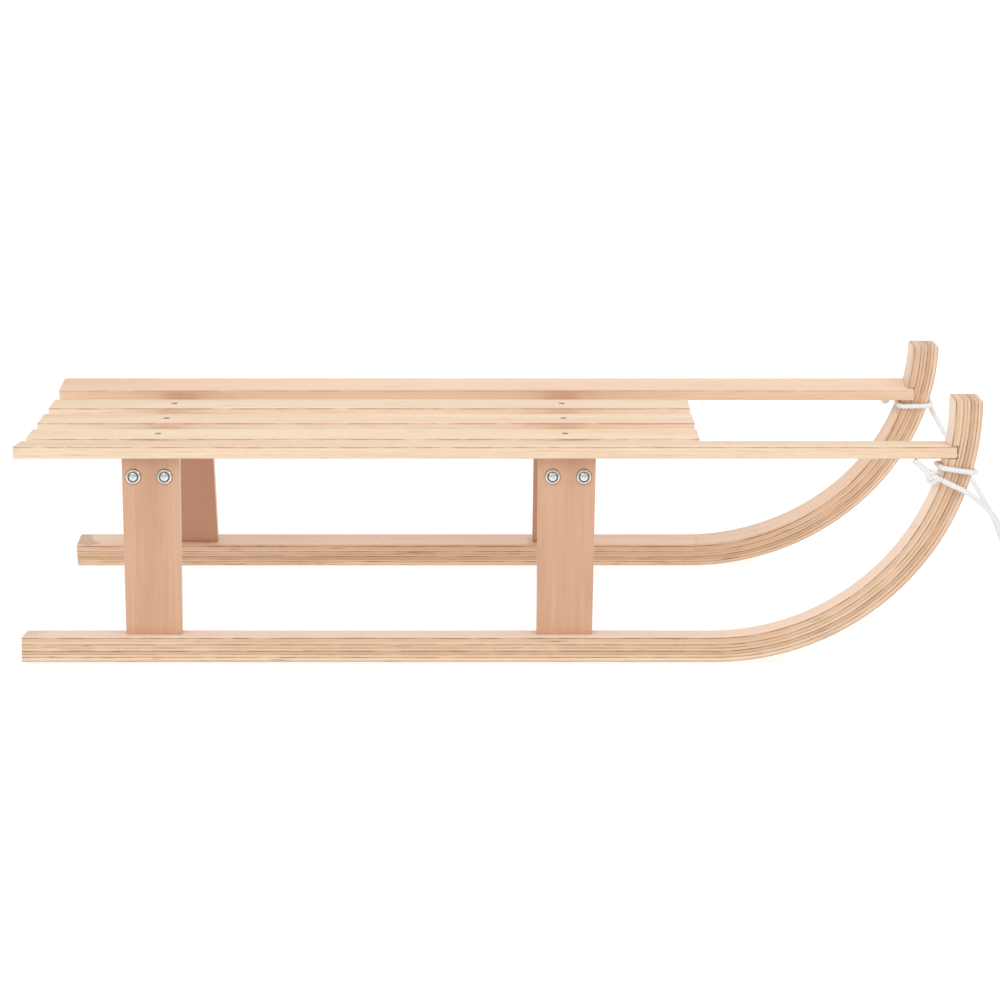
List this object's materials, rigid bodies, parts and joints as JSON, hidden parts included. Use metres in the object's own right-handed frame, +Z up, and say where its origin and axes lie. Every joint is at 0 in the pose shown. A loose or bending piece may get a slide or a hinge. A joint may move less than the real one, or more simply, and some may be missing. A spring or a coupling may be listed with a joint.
{
  "type": "sled",
  "caption": "Wooden slatted sled with two bent laminated runners that curve up at the front, flat posts, a slatted seat and a pull rope tied to both tips.",
  "frame": {"origin": "on the floor under the middle of the sled, the pull rope left out", "axes": "+X towards the runner tips, +Y to the rider's left, +Z up"},
  "size_m": [1.2732, 0.3696, 0.3024],
  "materials": {
    "runner_wood": "bent laminated beech under clear varnish, its glue lines showing on the sides",
    "slat_wood": "pale laminated beech under clear satin varnish",
    "post_wood": "pinkish beech veneer under clear satin varnish",
    "zinc_steel": "bright zinc plating",
    "dull_steel": "dull zinc plating, set below the surface",
    "rope_white": "white braided cord"
  },
  "bodies": {
    "root": {"runner_left": "runner_wood", "runner_right": "runner_wood", "post_rear_left": "post_wood", "post_rear_right": "post_wood", "post_front_left": "post_wood", "post_front_right": "post_wood", "cross_bearer_rear": "post_wood", "cross_bearer_front": "post_wood", "long_slat_left": "slat_wood", "long_slat_right": "slat_wood", "short_slat_1": "slat_wood", "short_slat_2": "slat_wood", "short_slat_3": "slat_wood", "post_screw_rear_left_1": "zinc_steel", "cup_washer_rear_left_1": "zinc_steel", "post_screw_rear_left_2": "zinc_steel", "cup_washer_rear_left_2": "zinc_steel", "post_screw_rear_right_1": "zinc_steel", "cup_washer_rear_right_1": "zinc_steel", "post_screw_rear_right_2": "zinc_steel", "cup_washer_rear_right_2": "zinc_steel", "post_screw_front_left_1": "zinc_steel", "cup_washer_front_left_1": "zinc_steel", "post_screw_front_left_2": "zinc_steel", "cup_washer_front_left_2": "zinc_steel", "post_screw_front_right_1": "zinc_steel", "cup_washer_front_right_1": "zinc_steel", "post_screw_front_right_2": "zinc_steel", "cup_washer_front_right_2": "zinc_steel", "slat_screw_rear_1": "dull_steel", "slat_screw_rear_2": "dull_steel", "slat_screw_rear_3": "dull_steel", "slat_screw_front_1": "dull_steel", "slat_screw_front_2": "dull_steel", "slat_screw_front_3": "dull_steel", "rope_lashing_left": "rope_white", "rope_knot_left": "rope_white", "rope_strand_left": "rope_white", "rope_lashing_right": "rope_white", "rope_knot_right": "rope_white", "rope_strand_right": "rope_white", "rope_coil": "rope_white"}
  },
  "joints": []
}
